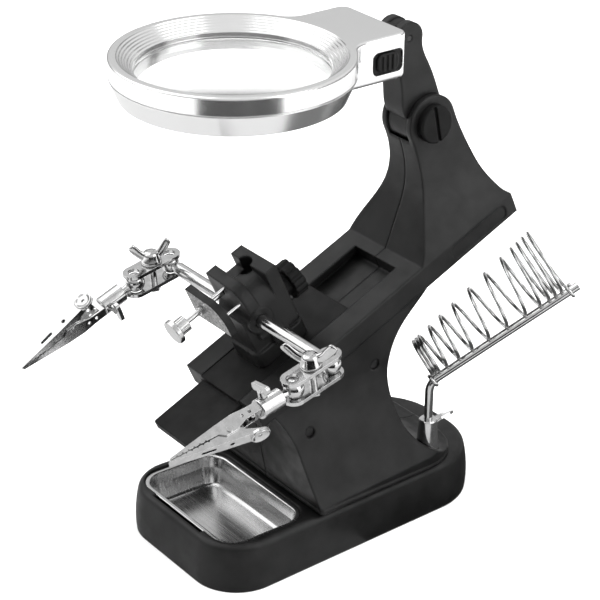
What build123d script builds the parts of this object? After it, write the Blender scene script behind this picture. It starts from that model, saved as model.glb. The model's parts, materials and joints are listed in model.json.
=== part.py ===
from build123d import *
from math import radians, sin
import os

# Helping hands clamp: a weighted base with a solder tray, a two-shell stand with an inclined
# slide, a cross rod with two alligator clips, a lit magnifier on a folding arm and a coiled
# rest for a soldering iron. Millimetres, +Z up, +Y to the back, origin at the centre of the
# base's footprint on the bench.

# ---- base -------------------------------------------------------------------------------
BASE_HALF_LENGTH = 89.0
BASE_HALF_WIDTH_FRONT = 49.2
BASE_HALF_WIDTH_BACK = 42.9
BASE_TOP = 26.0
BASE_WALL = 3.0
TRAY_HALF_WIDTH = 38.2
TRAY_FRONT = -79.4
TRAY_BACK = -34.4
TRAY_RIM = 24.4
TRAY_FLOOR = 9.0
SHEET = 0.8
FOOT_SPOTS = [(-33, -66), (33, -66), (-28, 62), (28, 62)]
SCREW_SPOTS = [(-38, -25), (38, -25), (-34, 40), (34, 40)]

# ---- stand: skirt, pedestal, inclined platform and neck -----------------------------------
SKIRT_FRONT = -29.0
SKIRT_BACK = 71.0
SKIRT_LOW = 26.5
SKIRT_TOP = 30.0
TILT = 24.6
PLATFORM_Y = 44.6
PLATFORM_Z = 135.0
PLATFORM_HALF_WIDTH = 29.5
PLATFORM_FRONT = -111.8
PLATFORM_BACK = 64.1
PLATFORM_DEPTH = 12.5
CHANNEL_HALF_WIDTH = 16.2
CHANNEL_BACK = -5.8
CHANNEL_DEPTH = 7.3
GROOVE_HALF_WIDTH = 19.2
SHELL_WALL = 2.5
RIGHT_SCREWS = [(17.5, 89.9, 27.7), (-26.0, 67.5, 32.0)]
LEFT_SCREW = (14.0, 47.0)
NECK_SCREW = (40.0, 22.0)
SEAM = 0.25

# ---- arm and magnifier --------------------------------------------------------------------
PIVOT_Y = 64.5
PIVOT_Z = 202.9
CHEEK_RADIUS = 14.2
CHEEK_INSIDE = 7.8
CHEEK_OUTSIDE = 11.0
ARM_HALF_WIDTH = 7.5
PIVOT_SHANK = 3.0
HINGE_Y = 51.0
HINGE_Z = 248.3
LENS_Y = -47.9
RING_RADIUS = 57.5
RING_TOP = 259.8
RING_PARTING = 251.1
RING_LOW = 240.3
LENS_Z = 249.0
LENS_RADIUS = 46.8
HOUSING_HALF_WIDTH = 24.5
HOUSING_BACK = 36.0
HOUSING_LOW = 237.0
CELL_ROOM = (8.2, 29.4)
CELL_RADIUS = 5.15
LED_X = (-12, 12)
LED_Y = 1.0

# ---- slide, clamp block and cross rod, in the platform's own frame ---------------------------
SLIDE_FRONT = -145.0
SLIDE_STEP = -112.4
SLIDE_BACK = -38.5
SLIDE_STEP_DEPTH = 3.0
BLOCK_LEFT = -16.5
BLOCK_RIGHT = 12.0
ROD_U = -81.6
ROD_H = 27.0
ROD_RADIUS = 3.5
BALL_RADIUS = 5.0
BALL_X = 66.8
SCREW_X = -6.5
SCREW_H = 40.6
GUIDE_PINS = [(-2.4, 45.4), (7.6, 39.6)]
KNOB_X = 2.1
KNOB_RADIUS = 9.6

# ---- ball clamps and clips ------------------------------------------------------------------
BALL_SPACING = 24.0
PLATE_GAP = 4.2
PLATE_THICK = 1.9
PLATE_HALF_WIDTH = 5.7
CLIP_LENGTH = 72.0
BARREL_BACK = -8.4
BARREL_FRONT = -21.4
BARREL_SCREW_Y = -17.4
BARREL_SCREW_TURN = {"left": 100, "right": -5}
WING_TURN = {"left": 62, "right": 33}
PIN_FROM_TIP = 31.0
LEVER_RISE = 13.5
JAW_FALL = 4.0
# side: sign of x, pitch and yaw of the plates, pitch and yaw of the clip, roll of the clip
CLIPS = {
    "left": (-1, 6.0, 8.5, 22.5, -1.5, 8.0),
    "right": (1, 9.3, 6.8, 9.5, 3.5, 117.0),
}

# ---- soldering iron rest ----------------------------------------------------------------------
SOCKET_X = 34.5
SOCKET_Y = 49.0
SOCKET_LOW = 33.0
SOCKET_TOP = 51.0
WIRE_RADIUS = 2.2
REST_YAW = 24.0
REST_PITCH = 31.6
REST_BEND_Z = 72.0
REST_BAR = 90.0
COIL_WIRE = 0.95
COIL_SMALL = 10.7
COIL_BIG = 18.0
COIL_TURNS = [4.4, 6.3, 8.2, 15.3, 22.7, 31.5, 42.4, 53.4, 64.5, 71.5, 75.4, 79.2, 82.8]
COIL_LEAN = 20.0

INCLINE = Pos(0, PLATFORM_Y, PLATFORM_Z) * Rot(TILT, 0, 0)
SIDE_VIEW = Plane.YZ
FRONT_VIEW = Plane.XZ


# ---- small helpers ------------------------------------------------------------------------------
def block(x, y, z):
    """A box between two limits on each axis."""
    size = (x[1] - x[0], y[1] - y[0], z[1] - z[0])
    return Pos((x[0] + x[1]) / 2, (y[0] + y[1]) / 2, (z[0] + z[1]) / 2) * Box(*size)


def rod_x(radius, x, y, z):
    return Pos((x[0] + x[1]) / 2, y, z) * Rot(0, 90, 0) * Cylinder(radius, x[1] - x[0])


def rod_y(radius, x, y, z):
    return Pos(x, (y[0] + y[1]) / 2, z) * Rot(90, 0, 0) * Cylinder(radius, y[1] - y[0])


def rod_z(radius, x, y, z):
    return Pos(x, y, (z[0] + z[1]) / 2) * Cylinder(radius, z[1] - z[0])


def across(edges, half_width):
    """A side-view outline (y, z) carried across in X."""
    return extrude(SIDE_VIEW * make_face(edges), amount=half_width, both=True)


def polygon(points):
    return make_face(Polyline(*points, close=True))


def turned(points):
    """A solid of revolution about Z from (radius, z) points."""
    return revolve(FRONT_VIEW * polygon(points), Axis.Z)


def joined(parts):
    whole = parts[0]
    for part in parts[1:]:
        whole = whole + part
    return whole


def save(shape, node):
    export_step(shape, "parts/" + node + ".step")


# ---- base ------------------------------------------------------------------------------------------
def base_outline(inset):
    front = BASE_HALF_WIDTH_FRONT - inset
    back = BASE_HALF_WIDTH_BACK - inset
    y = BASE_HALF_LENGTH - inset
    shape = polygon([(-front, -y), (front, -y), (back, y), (-back, y)])
    corners = shape.vertices().sort_by(Axis.Y)
    shape = fillet(corners[:2], 25 - inset)
    return fillet(shape.vertices().sort_by(Axis.Y)[-2:], 37 - inset)


def base_shell():
    levels = [(0, 0.5), (7, 0.0), (14, 0.3), (20, 1.1), (BASE_TOP, 2.6)]
    outside = loft([Pos(0, 0, z) * base_outline(inset) for z, inset in levels])
    outside = fillet(outside.faces().sort_by(Axis.Z)[-1].edges(), 4.0)
    hollow = extrude(base_outline(BASE_WALL + 2.5), BASE_TOP - BASE_WALL)
    shell = outside - hollow
    well = tray_outline(2.9)
    shell -= Pos(0, 0, TRAY_RIM - 0.2) * extrude(well, 10)
    shell -= extrude(tray_outline(0.9), 40)
    shell -= block((-21, 21), (TRAY_FRONT - 5.0, TRAY_FRONT), (18, 40))
    for x, y in SCREW_SPOTS:
        shell += rod_z(4, x, y, (4.2, BASE_TOP - BASE_WALL + 0.5)) - rod_z(1.5, x, y, (0, 16))
    for x in (-20, 20):
        shell -= rod_z(1.7, x, 10, (0, 40))
    shell -= rod_z(3.2, SOCKET_X, SOCKET_Y, (10, 40))
    return shell


def tray_outline(grow):
    low = (TRAY_FRONT - grow, TRAY_BACK + grow)
    half = TRAY_HALF_WIDTH + grow
    return Pos(0, sum(low) / 2) * RectangleRounded(2 * half, low[1] - low[0], 10 + grow)


def solder_tray():
    top = Pos(0, 0, TRAY_RIM) * tray_outline(0)
    floor = Pos(0, 0, TRAY_FLOOR) * tray_outline(-2.6)
    inside = loft([floor, top])
    pan = loft([Pos(0, 0, TRAY_FLOOR - SHEET) * tray_outline(-2.1), Pos(0, 0, TRAY_RIM) * tray_outline(0.5)])
    rim = Pos(0, 0, TRAY_RIM) * extrude(tray_outline(2.6), SHEET)
    rim -= block((-20.5, 20.5), (TRAY_FRONT - 4, TRAY_FRONT - 0.6), (20, 30))
    pan = pan + rim - inside - Pos(0, 0, TRAY_RIM) * extrude(tray_outline(0), 5)
    return pan


def base_plate():
    plate = Pos(0, 0, 1.4) * extrude(base_outline(6.0), 2.4)
    for x, y in SCREW_SPOTS:
        plate -= rod_z(1.7, x, y, (0, 6))
    for x, y in FOOT_SPOTS:
        plate -= rod_z(2.05, x, y, (0, 6))
    return plate


def rubber_feet():
    return [rod_z(6.5, x, y, (0, 1.4)) + rod_z(2.0, x, y, (1.0, 3.8)) for x, y in FOOT_SPOTS]


def base_screws():
    return [rod_z(3.0, x, y, (0.3, 1.4)) + rod_z(1.5, x, y, (1.0, 14)) for x, y in SCREW_SPOTS]


def ballast():
    weight = block((-26, 26), (-22, 68), (3.8, 14))
    return fillet(weight.edges().filter_by(Axis.Z), 6)


# ---- stand -------------------------------------------------------------------------------------------
def skirt_outline(inset, front=SKIRT_FRONT):
    half = 46.8 - inset
    shape = polygon([
        (-half, front + inset), (half, front + inset),
        (half - 3.4, SKIRT_BACK - inset), (-half + 3.4, SKIRT_BACK - inset),
    ])
    shape = fillet(shape.vertices().sort_by(Axis.Y)[-2:], 28.8 - inset)
    return fillet(shape.vertices().sort_by(Axis.Y)[:2], 2.0)


def pedestal(inset):
    """The waisted column: its side view and its front view, crossed."""
    front = Spline(
        (SKIRT_FRONT + inset, SKIRT_TOP), (-31 + inset, 40), (-33.2 + inset, 51.3),
        (-36.4 + inset, 64.8), (-40.3 + inset, 73.3), (-48 + inset, 84),
    )
    back = Spline(
        (60 - inset, 150), (44.7 - inset, 118.3), (32.3 - inset, 105.2), (25.3 - inset, 84.7),
        (25.8 - inset, 70.1), (31 - inset, 53.8), (40.5 - inset, 41.5), (52 - inset, 34),
        (67 - inset, SKIRT_TOP),
    )
    side = across([
        front, Line(front @ 1, (-48 + inset, 150)), Line((-48 + inset, 150), back @ 0),
        back, Line(back @ 1, front @ 0),
    ], 60)
    right = Spline(
        (46.0 - inset, SKIRT_TOP), (42 - inset, 39), (38 - inset, 50.5), (34 - inset, 64),
        (31 - inset, 74), (28.9 - inset, 88),
    )
    top = Line(right @ 1, (28.9 - inset, 150))
    half = make_face([
        right, top, Line(top @ 1, (0, 150)), Line((0, 150), (0, SKIRT_TOP)),
        Line((0, SKIRT_TOP), right @ 0),
    ])
    half = extrude(FRONT_VIEW * half, amount=120, both=True)
    front_view = half + mirror(half, Plane.YZ)
    below = INCLINE * block((-60, 60), (-250, 250), (-250, -PLATFORM_DEPTH + 2))
    plan = Pos(0, 0, SKIRT_TOP - 1) * extrude(skirt_outline(inset, -60.0), 130)
    return side & front_view & plan & below


def neck(inset):
    """Drawn in the platform's frame: side view crossed with its half width by height."""
    front = Spline(
        (0 + inset, -1), (6.2 + inset, 4.6), (14.6 + inset, 13), (21.9 + inset, 20.6),
        (26.3 + inset, 27), (29.4 + inset, 34.2), (31.4 + inset, 42.7), (32.2 + inset, 53.5),
    )
    crown = ThreePointArc((32.2 + inset, 53.5), (46.4, 67.7 - inset), (60.6 - inset, 53.5))
    back = Spline(
        (60.6 - inset, 53.5), (60.2 - inset, 40), (59.9 - inset, 26), (59.5 - inset, 14),
        (61 - inset, 5.5), (64 - inset, -1),
    )
    side = across([front, crown, back, Line(back @ 1, front @ 0)], 60)
    right = Spline(
        (29.5 - inset, -1), (27.2 - inset, 4.5), (21.4 - inset, 13), (17.2 - inset, 19.5),
        (14.4 - inset, 26), (12.4 - inset, 34), (CHEEK_OUTSIDE - inset, 46),
    )
    top = Line(right @ 1, (CHEEK_OUTSIDE - inset, 80))
    half = make_face([right, top, Line(top @ 1, (0, 80)), Line((0, 80), (0, -1)), Line((0, -1), right @ 0)])
    half = extrude(FRONT_VIEW * half, amount=150, both=True)
    return side & (half + mirror(half, Plane.YZ))


def platform():
    slab = block(
        (-PLATFORM_HALF_WIDTH, PLATFORM_HALF_WIDTH), (PLATFORM_FRONT, PLATFORM_BACK),
        (-PLATFORM_DEPTH, 0),
    )
    slab = fillet(slab.edges().filter_by(Axis.Y), 0.8)
    recess = block((-40, 40), (20, 58), (-10.8, -2.4))
    recess = fillet(recess.edges().filter_by(Axis.X), 3.5)
    return slab - recess + slab_core()


def slab_core():
    """What the shallow side recess of the platform leaves standing."""
    half = PLATFORM_HALF_WIDTH - 0.7
    return block((-half, half), (18, 60), (-PLATFORM_DEPTH + 0.5, -0.5))


def slide_channel():
    half = CHANNEL_HALF_WIDTH
    channel = block((-half, half), (PLATFORM_FRONT - 5, CHANNEL_BACK), (-CHANNEL_DEPTH, 5))
    groove = GROOVE_HALF_WIDTH
    channel += block((-groove, groove), (PLATFORM_FRONT - 5, CHANNEL_BACK), (-CHANNEL_DEPTH, -4.4))
    return channel


def shell_bosses():
    """Posts along X that the shell screws pass through."""
    posts = [rod_x(4.5, (-60, 60), y, z) for y, z, head in RIGHT_SCREWS]
    posts.append(rod_x(4.5, (-60, 60), *LEFT_SCREW))
    posts.append(INCLINE * rod_x(4.5, (-30, 30), *NECK_SCREW))
    return joined(posts)


def right_screw_cuts(side):
    """Shallow counterbores in the right shell, pilot holes in the left one."""
    cuts = []
    for y, z, head in RIGHT_SCREWS:
        if side > 0:
            cuts += [rod_x(2.7, (head - 1.5, 60), y, z), rod_x(1.7, (-1, head - 1), y, z)]
        else:
            cuts.append(rod_x(1.5, (-14, 1), y, z))
    return joined(cuts)


def left_screw_cuts(side):
    """The other two screws go in from the left, in deep counterbores."""
    if side < 0:
        low = rod_x(3.4, (-60, -13), *LEFT_SCREW) + rod_x(1.7, (-14, 1), *LEFT_SCREW)
        high = rod_x(3.4, (-60, -6), *NECK_SCREW) + rod_x(1.7, (-7, 1), *NECK_SCREW)
    else:
        low = rod_x(1.5, (-1, 14), *LEFT_SCREW)
        high = rod_x(1.5, (-1, 9), *NECK_SCREW)
    return low + INCLINE * high


def body_screws():
    screws = [
        rod_x(2.6, (head - 1.45, head), y, z) + rod_x(1.5, (-12, head - 1), y, z)
        for y, z, head in RIGHT_SCREWS
    ]
    screws.append(rod_x(2.9, (-15, -13.05), *LEFT_SCREW) + rod_x(1.5, (-13.5, 12), *LEFT_SCREW))
    high = rod_x(2.9, (-8, -6.05), *NECK_SCREW) + rod_x(1.5, (-7, 8), *NECK_SCREW)
    screws.append(INCLINE * high)
    return screws


def shell_seam():
    """The fine groove that shows where the two shells meet."""
    slot = block((-SEAM, SEAM), (-120, 130), (0, 300))
    column = pedestal(-1) - pedestal(0.5)
    return slot & (column + INCLINE * (neck(0) - neck(0.5)))


def stand_whole():
    skirt = Pos(0, 0, SKIRT_LOW + 0.9) * extrude(skirt_outline(0), SKIRT_TOP - SKIRT_LOW - 0.9)
    skirt = fillet(skirt.faces().sort_by(Axis.Z)[-1].edges(), 1.4)
    skirt += Pos(0, 0, SKIRT_LOW) * extrude(skirt_outline(0.9), 1.2)
    outside = skirt + pedestal(0) + INCLINE * platform() + INCLINE * neck(0)
    column_room = pedestal(SHELL_WALL) & block((-60, 60), (-100, 100), (SKIRT_TOP - 1, 150))
    column_room &= INCLINE * block((-60, 60), (-250, 250), (-250, -PLATFORM_DEPTH - 0.5))
    skirt_room = Pos(0, 0, SKIRT_LOW - 1) * extrude(skirt_outline(4.5), SKIRT_TOP - SKIRT_LOW + 2)
    skirt_room &= block((-60, 60), (-26, 30), (0, 60))
    neck_room = INCLINE * (neck(SHELL_WALL) & block((-60, 60), (-5, 70), (1.0, 36)))
    stand = outside - (column_room + skirt_room) - neck_room
    stand += shell_bosses() & outside
    stand -= INCLINE * slide_channel()
    stand -= shell_seam()
    stand -= rod_x(CHEEK_RADIUS + 0.3, (-CHEEK_INSIDE, CHEEK_INSIDE), PIVOT_Y, PIVOT_Z)
    stand -= rod_x(PIVOT_SHANK + 0.05, (-20, 20), PIVOT_Y, PIVOT_Z)
    stand -= rod_z(6.1, SOCKET_X, SOCKET_Y, (SOCKET_LOW, 60))
    stand -= rod_z(3.2, SOCKET_X, SOCKET_Y, (10, 40))
    return stand


def body_shell(stand, side):
    half = block(sorted((0, side * 80)), (-120, 130), (0, 300))
    return (stand & half) - right_screw_cuts(side) - left_screw_cuts(side)


def mounting_screws():
    """Two long screws that hold the stand down on the base."""
    return [rod_z(1.6, x, 10, (16, 27)) + rod_z(3.0, x, 10, (14.2, 16)) for x in (-20, 20)]


# ---- arm and its pivot ----------------------------------------------------------------------------------
def lens_arm():
    front = Spline((50.5, 207), (48.2, 213), (47.4, 221), (45.6, 231), (43.2, 241), (42.8, HINGE_Z))
    cap = ThreePointArc((42.8, HINGE_Z), (HINGE_Y, HINGE_Z + 8.2), (59.2, HINGE_Z))
    back = Spline((59.2, HINGE_Z), (59.6, 242), (62.8, 235), (66.6, 227.5), (69.8, 219.5), (73.5, 210))
    foot = Line(back @ 1, front @ 0)
    arm = across([front, cap, back, foot], ARM_HALF_WIDTH)
    arm += rod_x(13.2, (-ARM_HALF_WIDTH, ARM_HALF_WIDTH), PIVOT_Y, PIVOT_Z)
    arm -= rod_x(PIVOT_SHANK + 0.05, (-20, 20), PIVOT_Y, PIVOT_Z)
    arm -= rod_x(12.5, (-3.3, 3.3), HINGE_Y, HINGE_Z)
    arm -= rod_x(1.5, (-20, 20), HINGE_Y, HINGE_Z)
    return arm


def pivot_screw():
    head = rod_x(9.8, (11.3, 15.2), PIVOT_Y, PIVOT_Z)
    head = fillet(head.edges().sort_by(Axis.X)[-1], 1.0)
    slot = Pos(0, PIVOT_Y, PIVOT_Z) * Rot(12, 0, 0) * block((13.7, 16), (-1.0, 1.0), (-12, 12))
    return head - slot + rod_x(PIVOT_SHANK, (-15.5, 12), PIVOT_Y, PIVOT_Z)


def pivot_nut():
    nut = Pos(-13.4, PIVOT_Y, PIVOT_Z) * Rot(0, 90, 0) * extrude(RegularPolygon(6.5, 6), 2.1, both=True)
    return nut - rod_x(PIVOT_SHANK, (-20, 0), PIVOT_Y, PIVOT_Z)


def hinge_pin():
    return rod_x(1.5, (-7.3, 7.3), HINGE_Y, HINGE_Z)


# ---- magnifier ---------------------------------------------------------------------------------------------
def lens_bracket():
    """The lug that turns in the arm's fork, with its root keyed into the housing."""
    lug = rod_x(7.4, (-3, 3), HINGE_Y, HINGE_Z)
    lug += block((-3, 3), (HOUSING_BACK - 1, HINGE_Y), (HINGE_Z - 5.6, HINGE_Z + 6.4))
    root = block((-8, 8), (HOUSING_BACK - 6, HOUSING_BACK), (HINGE_Z - 6, HINGE_Z + 7))
    return lug + root - rod_x(1.55, (-20, 20), HINGE_Y, HINGE_Z)


def head_outline():
    plan = Pos(0, LENS_Y) * Circle(RING_RADIUS)
    plan += Pos(0, HOUSING_BACK / 2 - 5) * Rectangle(2 * HOUSING_HALF_WIDTH, HOUSING_BACK + 10)
    inner = [v for v in plan.vertices() if abs(v.Y - 4) < 3]
    plan = fillet(inner, 12)
    outer = [v for v in plan.vertices() if v.Y > HOUSING_BACK - 1]
    return fillet(outer, 5)


def battery_room():
    return block((-23.0, 22.6), CELL_ROOM, (HOUSING_LOW + 2.0, RING_TOP - 1.6))


def head_cuts():
    """What both halves of the head leave free: cells, bracket root and switch."""
    cuts = battery_room()
    cuts += block((-8, 8), (HOUSING_BACK - 6, HOUSING_BACK + 5), (HINGE_Z - 6, HINGE_Z + 7))
    switch = block((22.65, 30), (14.6, 33.0), (241.5, 252.9))
    cuts += fillet(switch.edges().filter_by(Axis.X), 3.2)
    cuts += Pos(0, LENS_Y, 0) * rod_z(LENS_RADIUS + 0.2, 0, 0, (LENS_Z - 1.6, LENS_Z + 1.5))
    return cuts


def head_upper():
    shape = Pos(0, 0, RING_PARTING) * extrude(head_outline(), RING_TOP - RING_PARTING)
    shape = fillet(shape.faces().sort_by(Axis.Z)[-1].outer_wire().edges(), 1.2)
    steps = [(0, 300), (53.4, 300), (53.4, RING_TOP)]
    for i in range(6):
        radius = 53.4 - 1.25 * i
        level = RING_TOP - 1.0 * (i + 1)
        steps += [(radius - 0.4, level + 0.25), (radius - 1.25, level)]
    steps += [(45.6, RING_PARTING - 1), (0, RING_PARTING - 1)]
    collar = rod_z(LENS_RADIUS + 0.1, 0, 0, (LENS_Z + 1.5, RING_PARTING + 0.5))
    collar -= rod_z(45.6, 0, 0, (240, 260))
    shape -= Pos(0, LENS_Y, 0) * turned(steps)
    return shape - head_cuts() + Pos(0, LENS_Y, 0) * collar


def head_lower():
    ring = turned([
        (45.6, RING_LOW), (53.2, RING_LOW), (RING_RADIUS, RING_PARTING - 0.6),
        (RING_RADIUS - 0.7, RING_PARTING - 0.6), (RING_RADIUS - 0.7, RING_PARTING),
        (LENS_RADIUS + 0.2, RING_PARTING), (LENS_RADIUS + 0.2, LENS_Z - 1.6), (45.6, LENS_Z - 1.6),
    ])
    half = HOUSING_HALF_WIDTH
    box = block((-half, half), (-2, HOUSING_BACK), (HOUSING_LOW, RING_PARTING))
    box = fillet(box.edges().filter_by(Axis.Z).sort_by(Axis.Y)[-2:], 5)
    box = fillet(box.faces().sort_by(Axis.Z)[0].edges(), 2.5)
    box -= Pos(0, LENS_Y, 0) * rod_z(52.5, 0, 0, (200, 300))
    shape = Pos(0, LENS_Y, 0) * ring + box
    shape -= block((-23.0, 22.6), CELL_ROOM, (HOUSING_LOW - 1, HOUSING_LOW + 3))
    for x in LED_X:
        shape -= rod_z(2.55, x, LED_Y, (RING_LOW - 1, RING_PARTING))
    shape -= block((-16.2, 16.2), (-0.4, 4.5), (LENS_Z - 1.9, RING_PARTING + 1))
    return shape - head_cuts()


def lens_glass():
    """A biconvex glass with a flat edge."""
    edge = 1.3
    bulge = 4.6
    sphere = (LENS_RADIUS ** 2 + bulge ** 2) / (2 * bulge)
    arc_up = ThreePointArc((0, edge + bulge), (23.4, edge + bulge * 0.755), (LENS_RADIUS - 1.4, edge))
    arc_down = ThreePointArc((0, -edge - bulge), (23.4, -edge - bulge * 0.755), (LENS_RADIUS - 1.4, -edge))
    rim_up = Line(arc_up @ 1, (LENS_RADIUS, edge))
    rim_down = Line(arc_down @ 1, (LENS_RADIUS, -edge))
    side = Line(rim_up @ 1, rim_down @ 1)
    core = Line(arc_up @ 0, arc_down @ 0)
    section = make_face([core, arc_up, rim_up, side, rim_down, arc_down])
    return Pos(0, LENS_Y, LENS_Z) * revolve(FRONT_VIEW * section, Axis.Z)


def led_board():
    return block((-16, 16), (-0.2, 4.3), (LENS_Z - 1.7, LENS_Z - 0.5))


def leds():
    return [
        rod_z(2.45, x, LED_Y, (RING_LOW + 0.3, LENS_Z - 1.7)) + Pos(x, LED_Y, RING_LOW + 0.3) * Sphere(2.45)
        for x in LED_X
    ]


def batteries():
    cells = []
    for i in range(2):
        y = CELL_ROOM[0] + 5.3 + 10.6 * i
        z = HOUSING_LOW + 2.4 + CELL_RADIUS
        cell = rod_x(CELL_RADIUS, (-22.9, 20.2), y, z)
        cells.append(cell + rod_x(1.9, (20.2, 20.9), y, z))
    return cells


def battery_cover():
    plate = block((-22.9, 22.5), (CELL_ROOM[0] + 0.1, CELL_ROOM[1] - 0.1), (HOUSING_LOW + 0.1, HOUSING_LOW + 2.0))
    for i in range(4):
        plate -= block((-6, 6), (12.5 + 1.8 * i, 13.3 + 1.8 * i), (0, HOUSING_LOW + 0.7))
    return plate


def switch_base():
    plate = block((22.7, 23.3), (14.8, 32.8), (241.7, 252.7))
    return fillet(plate.edges().filter_by(Axis.X), 3.0)


def switch_slider():
    slider = block((23.4, 24.9), (17.4, 30.2), (242.6, 251.8))
    slider = fillet(slider.edges().filter_by(Axis.X), 3.4)
    slider = fillet(slider.faces().sort_by(Axis.X)[-1].edges(), 0.8)
    for i in range(3):
        slider += block((24.0, 25.6), (20.3 + 2.9 * i, 21.5 + 2.9 * i), (243.4, 251.0))
    return slider


# ---- slide and clamp block, in the platform's frame ------------------------------------------------------------
def slide_plate():
    half = CHANNEL_HALF_WIDTH - 0.3
    low = -CHANNEL_DEPTH + 0.3
    plate = block((-half, half), (SLIDE_FRONT, SLIDE_BACK), (low, -SLIDE_STEP_DEPTH))
    plate = fillet(plate.edges().filter_by(Axis.Z).sort_by(Axis.Y)[:2], 1.5)
    flange = GROOVE_HALF_WIDTH - 0.3
    plate += block((-flange, flange), (PLATFORM_FRONT + 2, SLIDE_BACK), (low, -4.7))
    plate += block((-half, half), (SLIDE_STEP, SLIDE_BACK), (-SLIDE_STEP_DEPTH, -0.3))
    return plate


def jaw_profile(top, low):
    """A jaw's face in x and height: square on the left, swept down on the right."""
    left = BLOCK_LEFT
    right = BLOCK_RIGHT
    arc = ThreePointArc((right - 9, top - 1.5), (right - 2.4, top - 6.0), (right, top - 13))
    edges = [
        Line((left, low), (left, top)), Line((left, top), (right - 9, top - 1.5)), arc,
        Line((right, top - 13), (right, low)), Line((right, low), (left, low)),
    ]
    return FRONT_VIEW * make_face(edges)


def jaw_plate(face, u):
    """A jaw profile made thick between two places along the slide."""
    return Pos(0, u[1], 0) * extrude(face, u[1] - u[0])


def clamp_block():
    left = BLOCK_LEFT
    right = BLOCK_RIGHT
    rear = block((left, right), (-69.4, -62.4), (10, 48))
    rear = fillet(rear.edges().filter_by(Axis.Y).sort_by(Axis.X)[-1], 4)
    middle = jaw_plate(jaw_profile(48.5, 16), (-85.6, -79.2))
    bridge = block((left, -1), (-79.4, -69.2), (8, 40.5))
    lump = jaw_plate(jaw_profile(45.5, 8), (-79.4, -69.2)) & block((-4, 20), (-80, -69), (0, 60))
    foot = block((-14.5, 10.5), (-91.5, -60), (-0.3, 9))
    foot = fillet(foot.edges().filter_by(Axis.Z), 4)
    stem = block((-13, 9), (-90, -62.4), (8, 30))
    boss = rod_x(7.2, (-13.5, 12.5), ROD_U, ROD_H)
    shape = joined([rear, middle, bridge, lump, foot, stem, boss])
    shape -= rod_z(4.6, -5.0, -70.0, (37.5, 60))
    shape -= rod_x(ROD_RADIUS + 0.05, (-40, 40), ROD_U, ROD_H)
    shape -= rod_y(2.05, KNOB_X, (ROD_U, -50), ROD_H)
    shape -= rod_y(1.6, SCREW_X, (-90, -74), SCREW_H)
    for x, h in GUIDE_PINS:
        shape -= rod_y(0.8, x, (-90, -81), h)
    return INCLINE * shape


def front_jaw():
    plate = jaw_plate(jaw_profile(49, 31), (-99, -95))
    plate -= rod_y(1.45, SCREW_X, (-110, -90), SCREW_H)
    for x, h in GUIDE_PINS:
        plate -= rod_y(0.85, x, (-110, -90), h)
    return INCLINE * plate


def guide_pins():
    return [INCLINE * rod_y(0.8, x, (-99, -81), h) for x, h in GUIDE_PINS]


def jaw_screw():
    """Knurled thumb screw that closes the front jaw."""
    h = SCREW_H
    shank = rod_y(1.4, SCREW_X, (-113, -86.2), h)
    collar = rod_y(2.4, SCREW_X, (-101.2, -99.3), h)
    neck = rod_y(4.2, SCREW_X, (-115.4, -109.6), h)
    for i in range(18):
        turn = Pos(SCREW_X, 0, h) * Rot(0, 20 * i, 0)
        neck -= turn * block((3.9, 4.4), (-116, -109), (-0.3, 0.3))
    head = rod_y(6.5, SCREW_X, (-118.4, -115.4), h)
    head = fillet(head.edges(), 0.6)
    return INCLINE * (shank + collar + neck + head)


def lock_knob():
    """Knob behind the block whose screw bears on the cross rod."""
    grip = rod_y(KNOB_RADIUS, KNOB_X, (-57.6, -50.9), ROD_H)
    for i in range(12):
        turn = Pos(KNOB_X, 0, ROD_H) * Rot(0, 30 * i, 0)
        grip -= turn * rod_y(1.4, KNOB_RADIUS + 0.6, (-60, -50), 0)
    hub = rod_y(6.0, KNOB_X, (-62.1, -57.2), ROD_H) + rod_y(5.5, KNOB_X, (-51.2, -49.9), ROD_H)
    shank = rod_y(2.0, KNOB_X, (ROD_U + ROD_RADIUS + 0.3, -58), ROD_H)
    return INCLINE * (grip + hub + shank)


def cross_rod():
    rod = rod_x(ROD_RADIUS, (-BALL_X + 8.5, BALL_X - 8.5), 0, 0)
    for side in (-1, 1):
        rod += rod_x(2.3, sorted((side * (BALL_X - 9), side * BALL_X)), 0, 0)
        rod += Pos(side * BALL_X, 0, 0) * Sphere(BALL_RADIUS)
    return INCLINE * Pos(0, ROD_U, ROD_H) * rod


# ---- ball clamps and clips ------------------------------------------------------------------------------------------
def rod_ball(side):
    return INCLINE * Pos(side * BALL_X, ROD_U, ROD_H)


def clamp_frame(name):
    """At the rod's ball, with -Y along the plates towards the clip."""
    side, pitch, yaw, clip_pitch, clip_yaw, roll = CLIPS[name]
    return Pos(*rod_ball(side).position) * Rot(0, 0, yaw) * Rot(pitch, 0, 0)


def barrel_frame(name):
    """At the second ball, with -Y towards the clip's tip."""
    side, pitch, yaw, clip_pitch, clip_yaw, roll = CLIPS[name]
    ball = (clamp_frame(name) * Pos(0, -BALL_SPACING, 0)).position
    return Pos(*ball) * Rot(0, 0, clip_yaw) * Rot(clip_pitch, 0, 0)


def clip_frame(name):
    return barrel_frame(name) * Rot(0, CLIPS[name][5], 0)


def clamp_plate(level):
    """One pressed plate, its two ball seats and the bolt hole; level is above or below."""
    outline = SlotOverall(BALL_SPACING + 2 * PLATE_HALF_WIDTH, 2 * PLATE_HALF_WIDTH, rotation=90)
    low = PLATE_GAP if level > 0 else -PLATE_GAP - PLATE_THICK
    plate = Pos(0, -BALL_SPACING / 2, low) * extrude(outline, PLATE_THICK)
    for y in (0, -BALL_SPACING):
        plate -= rod_z(3.1, 0, y, (-20, 20))
    return plate - rod_z(1.9, 0, -BALL_SPACING / 2, (-20, 20))


def clamp_bolt():
    y = -BALL_SPACING / 2
    top = PLATE_GAP + PLATE_THICK
    bolt = rod_z(1.85, 0, y, (-top - 1, top + 6.5))
    head = Pos(0, y, -top - 3.4) * extrude(RegularPolygon(3.5, 6), 3.35)
    return bolt + head


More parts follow.
